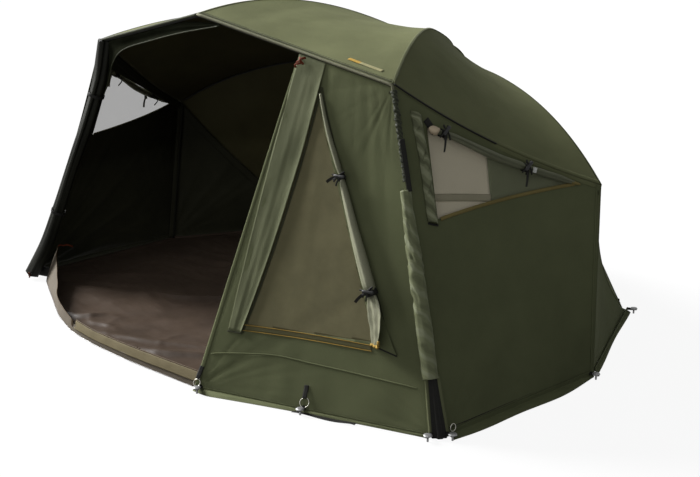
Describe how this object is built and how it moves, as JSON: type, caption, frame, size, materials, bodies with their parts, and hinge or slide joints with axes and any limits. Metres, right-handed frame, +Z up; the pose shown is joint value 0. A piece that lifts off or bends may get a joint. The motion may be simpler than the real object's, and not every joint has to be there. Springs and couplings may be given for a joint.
{
  "type": "fishing brolly shelter",
  "caption": "Umbrella-framed fishing shelter tipped back over a groundsheet, with net-windowed side walls, a front infill panel, telescopic storm poles and pegs.",
  "frame": {"origin": "on the ground under the plane that the umbrella's shaft lies in, level with the middle of the side walls", "axes": "+X to the shelter's left-hand side seen from inside, that is to the right of a viewer who faces the open front; -Y out of the open front; +Z up"},
  "size_m": [3.096, 2.6006, 1.5325],
  "materials": {
    "roof_cloth": "olive green coated polyester, fine weave, matt",
    "wall_cloth": "dark green coated polyester, creased, slight sheen",
    "window_net": "fine insect net",
    "groundsheet_pvc": "heavy coated sheet, brown, glossy wrinkles",
    "khaki_cloth": "khaki webbing cloth",
    "glassfibre": "black pultruded rod",
    "black_tube": "black anodised tube",
    "moulded_black": "moulded nylon",
    "peg_steel": "grey steel peg with a black webbing loop"
  },
  "bodies": {
    "shelter": {"crown": "moulded_black", "crown_cap": "roof_cloth", "centre_post": "black_tube", "roof_front_right": "roof_cloth", "roof_front_left": "roof_cloth", "roof_side_right": "roof_cloth", "roof_side_left": "roof_cloth", "roof_rear_right": "roof_cloth", "roof_rear_left": "roof_cloth", "roof_back_right": "roof_cloth", "roof_back_left": "roof_cloth", "side_wall_right": "wall_cloth", "side_wall_left": "wall_cloth", "side_net_right": "window_net", "side_net_left": "window_net", "rear_wall_right": "wall_cloth", "rear_wall_left": "wall_cloth", "side_window_roll_right": "wall_cloth", "side_window_roll_left": "wall_cloth", "front_panel": "wall_cloth", "front_net": "window_net", "front_window_roll": "wall_cloth", "door_roll_left": "wall_cloth", "zip_strip": "wall_cloth", "front_lip": "roof_cloth", "corner_sleeve": "wall_cloth", "groundsheet": "groundsheet_pvc", "groundsheet_lip": "khaki_cloth", "peg_corner_right": "peg_steel", "peg_corner_left": "peg_steel", "peg_side_right": "peg_steel", "peg_side_left": "peg_steel", "peg_rear_right": "peg_steel", "peg_rear_left": "peg_steel", "peg_panel": "peg_steel"},
    "runner": {"runner": "moulded_black"},
    "rib_front": {"rib_front": "glassfibre"},
    "stretcher_front": {"stretcher_front": "black_tube"},
    "rib_front_right": {"rib_front_right": "glassfibre"},
    "stretcher_front_right": {"stretcher_front_right": "black_tube"},
    "rib_side_right": {"rib_side_right": "glassfibre"},
    "stretcher_side_right": {"stretcher_side_right": "black_tube"},
    "rib_rear_right": {"rib_rear_right": "glassfibre"},
    "stretcher_rear_right": {"stretcher_rear_right": "black_tube"},
    "rib_rear": {"rib_rear": "glassfibre"},
    "stretcher_rear": {"stretcher_rear": "black_tube"},
    "rib_rear_left": {"rib_rear_left": "glassfibre"},
    "stretcher_rear_left": {"stretcher_rear_left": "black_tube"},
    "rib_side_left": {"rib_side_left": "glassfibre"},
    "stretcher_side_left": {"stretcher_side_left": "black_tube"},
    "rib_front_left": {"rib_front_left": "glassfibre"},
    "stretcher_front_left": {"stretcher_front_left": "black_tube"},
    "pole_upper_right": {"pole_upper_right": "black_tube", "pole_collar_right": "moulded_black"},
    "pole_lower_right": {"pole_lower_right": "black_tube"},
    "pole_lever_right": {"pole_lever_right": "moulded_black"},
    "pole_upper_left": {"pole_upper_left": "black_tube", "pole_collar_left": "moulded_black"},
    "pole_lower_left": {"pole_lower_left": "black_tube"},
    "pole_lever_left": {"pole_lever_left": "moulded_black"}
  },
  "joints": [
    {"name": "runner_slide", "type": "slide", "parent": "shelter", "child": "runner", "axis": [0, -0.8, -0.6], "range_m": [0, 0.28], "deforming": ["roof_front_right", "roof_front_left", "roof_side_right", "roof_side_left", "roof_rear_right", "roof_rear_left", "roof_back_right", "roof_back_left", "side_wall_right", "side_wall_left", "side_net_right", "side_net_left", "rear_wall_right", "rear_wall_left", "side_window_roll_right", "side_window_roll_left", "front_panel", "front_net", "front_window_roll", "door_roll_left", "zip_strip", "front_lip", "corner_sleeve", "groundsheet", "groundsheet_lip"]},
    {"name": "rib_front_hinge", "type": "hinge", "parent": "shelter", "child": "rib_front", "pos_m": [0, 0.7584, 1.1788], "axis": [1, 0, 0], "range_deg": [0, 47.62]},
    {"name": "stretcher_front_hinge", "type": "hinge", "parent": "rib_front", "child": "stretcher_front", "pos_m": [0, 0.52006, 1.26975], "axis": [-1, 0, 0], "range_deg": [0, 108.17]},
    {"name": "rib_front_right_hinge", "type": "hinge", "parent": "shelter", "child": "rib_front_right", "pos_m": [0.02541, 0.7647, 1.1704], "axis": [0.7085, 0.4234, -0.5646], "range_deg": [0, 50.91]},
    {"name": "stretcher_front_right_hinge", "type": "hinge", "parent": "rib_front_right", "child": "stretcher_front_right", "pos_m": [0.17447, 0.58462, 1.24355], "axis": [-0.7085, -0.4234, 0.5646], "range_deg": [0, 100.93]},
    {"name": "rib_side_right_hinge", "type": "hinge", "parent": "shelter", "child": "rib_side_right", "pos_m": [0.03581, 0.77776, 1.15298], "axis": [0.1036, 0.5968, -0.7957], "range_deg": [0, 62.02]},
    {"name": "stretcher_side_right_hinge", "type": "hinge", "parent": "rib_side_right", "child": "stretcher_side_right", "pos_m": [0.24849, 0.69359, 1.13203], "axis": [-0.1036, -0.5968, 0.7957], "range_deg": [0, 114.75]},
    {"name": "rib_rear_right_hinge", "type": "hinge", "parent": "shelter", "child": "rib_rear_right", "pos_m": [0.02722, 0.79414, 1.13115], "axis": [-0.6546, 0.4536, -0.6048], "range_deg": [0, 66.17]},
    {"name": "stretcher_rear_right_hinge", "type": "hinge", "parent": "rib_rear_right", "child": "stretcher_rear_right", "pos_m": [0.20193, 0.84824, 1.01644], "axis": [0.6546, -0.4536, 0.6048], "range_deg": [0, 103.24]},
    {"name": "rib_rear_hinge", "type": "hinge", "parent": "shelter", "child": "rib_rear", "pos_m": [0, 0.8016, 1.1212], "axis": [-1, 0, 0], "range_deg": [0, 76.02]},
    {"name": "stretcher_rear_hinge", "type": "hinge", "parent": "rib_rear", "child": "stretcher_rear", "pos_m": [0, 0.92951, 0.96819], "axis": [1, 0, 0], "range_deg": [0, 107.5]},
    {"name": "rib_rear_left_hinge", "type": "hinge", "parent": "shelter", "child": "rib_rear_left", "pos_m": [-0.02722, 0.79414, 1.13115], "axis": [-0.6546, -0.4536, 0.6048], "range_deg": [0, 66.17]},
    {"name": "stretcher_rear_left_hinge", "type": "hinge", "parent": "rib_rear_left", "child": "stretcher_rear_left", "pos_m": [-0.20193, 0.84824, 1.01644], "axis": [0.6546, 0.4536, -0.6048], "range_deg": [0, 103.24]},
    {"name": "rib_side_left_hinge", "type": "hinge", "parent": "shelter", "child": "rib_side_left", "pos_m": [-0.03581, 0.77776, 1.15298], "axis": [0.1036, -0.5968, 0.7957], "range_deg": [0, 62.02]},
    {"name": "stretcher_side_left_hinge", "type": "hinge", "parent": "rib_side_left", "child": "stretcher_side_left", "pos_m": [-0.24849, 0.69359, 1.13203], "axis": [-0.1036, 0.5968, -0.7957], "range_deg": [0, 114.75]},
    {"name": "rib_front_left_hinge", "type": "hinge", "parent": "shelter", "child": "rib_front_left", "pos_m": [-0.02541, 0.7647, 1.1704], "axis": [0.7085, -0.4234, 0.5646], "range_deg": [0, 50.91]},
    {"name": "stretcher_front_left_hinge", "type": "hinge", "parent": "rib_front_left", "child": "stretcher_front_left", "pos_m": [-0.17447, 0.58462, 1.24355], "axis": [-0.7085, 0.4234, -0.5646], "range_deg": [0, 100.93]},
    {"name": "pole_right_fold", "type": "hinge", "parent": "rib_front_right", "child": "pole_upper_right", "pos_m": [0.96359, -0.65794, 1.28664], "axis": [0.821, 0.5333, 0.2039], "range_deg": [0, 105.43]},
    {"name": "pole_right_telescope", "type": "slide", "parent": "pole_upper_right", "child": "pole_lower_right", "axis": [-0.3419, 0.1731, 0.9237], "range_m": [0, 0.3]},
    {"name": "pole_right_lever_hinge", "type": "hinge", "parent": "pole_upper_right", "child": "pole_lever_right", "pos_m": [1.23147, -0.78593, 0.52125], "axis": [0.7013, 0.7013, 0.1282], "range_deg": [0, 100]},
    {"name": "pole_left_fold", "type": "hinge", "parent": "rib_front_left", "child": "pole_upper_left", "pos_m": [-0.96359, -0.65794, 1.28664], "axis": [0.821, -0.5333, -0.2039], "range_deg": [0, 105.43]},
    {"name": "pole_left_telescope", "type": "slide", "parent": "pole_upper_left", "child": "pole_lower_left", "axis": [0.3419, 0.1731, 0.9237], "range_m": [0, 0.3]},
    {"name": "pole_left_lever_hinge", "type": "hinge", "parent": "pole_upper_left", "child": "pole_lever_left", "pos_m": [-1.23147, -0.78593, 0.52125], "axis": [0.7013, -0.7013, -0.1282], "range_deg": [0, 100]}
  ],
  "couplings": [
    {"joint": "rib_front_hinge", "follows": "runner_slide", "rad_per_m": 2.9683},
    {"joint": "stretcher_front_hinge", "follows": "runner_slide", "rad_per_m": 6.7426},
    {"joint": "rib_front_right_hinge", "follows": "runner_slide", "rad_per_m": 3.1734},
    {"joint": "stretcher_front_right_hinge", "follows": "runner_slide", "rad_per_m": 6.2913},
    {"joint": "rib_side_right_hinge", "follows": "runner_slide", "rad_per_m": 3.8659},
    {"joint": "stretcher_side_right_hinge", "follows": "runner_slide", "rad_per_m": 7.1527},
    {"joint": "rib_rear_right_hinge", "follows": "runner_slide", "rad_per_m": 4.1246},
    {"joint": "stretcher_rear_right_hinge", "follows": "runner_slide", "rad_per_m": 6.4353},
    {"joint": "rib_rear_hinge", "follows": "runner_slide", "rad_per_m": 4.7386},
    {"joint": "stretcher_rear_hinge", "follows": "runner_slide", "rad_per_m": 6.7008},
    {"joint": "rib_rear_left_hinge", "follows": "runner_slide", "rad_per_m": 4.1246},
    {"joint": "stretcher_rear_left_hinge", "follows": "runner_slide", "rad_per_m": 6.4353},
    {"joint": "rib_side_left_hinge", "follows": "runner_slide", "rad_per_m": 3.8659},
    {"joint": "stretcher_side_left_hinge", "follows": "runner_slide", "rad_per_m": 7.1527},
    {"joint": "rib_front_left_hinge", "follows": "runner_slide", "rad_per_m": 3.1734},
    {"joint": "stretcher_front_left_hinge", "follows": "runner_slide", "rad_per_m": 6.2913},
    {"joint": "pole_right_fold", "follows": "runner_slide", "rad_per_m": 6.5718},
    {"joint": "pole_left_fold", "follows": "runner_slide", "rad_per_m": 6.5718}
  ]
}
